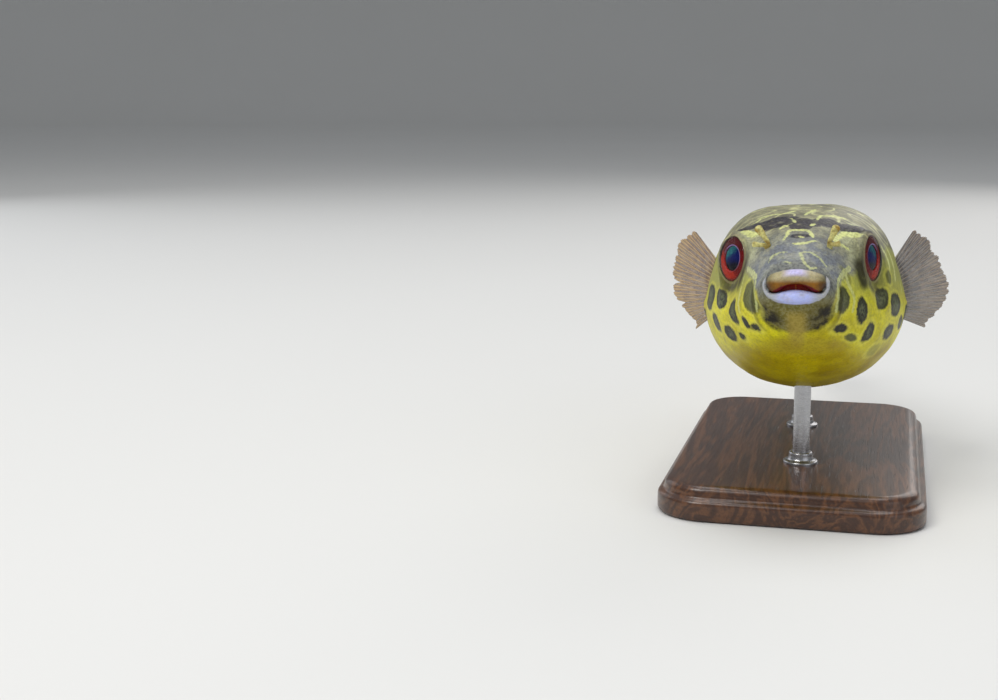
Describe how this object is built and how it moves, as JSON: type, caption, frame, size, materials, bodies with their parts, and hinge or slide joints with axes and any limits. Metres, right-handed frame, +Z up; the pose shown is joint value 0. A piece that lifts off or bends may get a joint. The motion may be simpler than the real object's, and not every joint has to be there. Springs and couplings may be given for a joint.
{
  "type": "freshwater pufferfish model",
  "caption": "Life-size still model of a young giant freshwater pufferfish, fins spread, held on a flat base by two short rods.",
  "frame": {"origin": "middle of the model's footprint, on the floor under the stand's base", "axes": "+Z up, +Y from the snout towards the tail, +X to the fish's left"},
  "size_m": [0.052, 0.1242, 0.0525],
  "materials": {
    "skin_back": "moist scaleless skin, grey-green with pale lines and dark spots",
    "skin_belly": "moist scaleless skin, yellow",
    "lip": "moist, pale lavender to golden brown",
    "tooth": "hard and smooth, brown in shadow",
    "iris": "clear and wet over a red iris",
    "pupil": "clear and wet, deep blue",
    "fin": "thin translucent membrane over pale rays",
    "tail_fin": "thin membrane, golden brown with dark stripes",
    "tentacle": "soft skin, ochre",
    "stand_wood": "dark stained wood, satin",
    "stand_steel": "brushed"
  },
  "bodies": {
    "root": {"head": "skin_back", "trunk": "skin_back", "belly": "skin_belly", "tail_stem": "skin_back", "upper_lip": "lip", "lower_lip": "lip", "upper_beak": "tooth", "eye_left": "iris", "eye_right": "iris", "pupil_left": "pupil", "pupil_right": "pupil", "nasal_tentacle_left": "tentacle", "nasal_tentacle_right": "tentacle", "pectoral_fin_left": "fin", "pectoral_fin_right": "fin", "dorsal_fin": "fin", "anal_fin": "tail_fin", "caudal_fin": "tail_fin", "stand_base": "stand_wood", "stand_rod_front": "stand_steel", "stand_rod_rear": "stand_steel"}
  },
  "joints": []
}
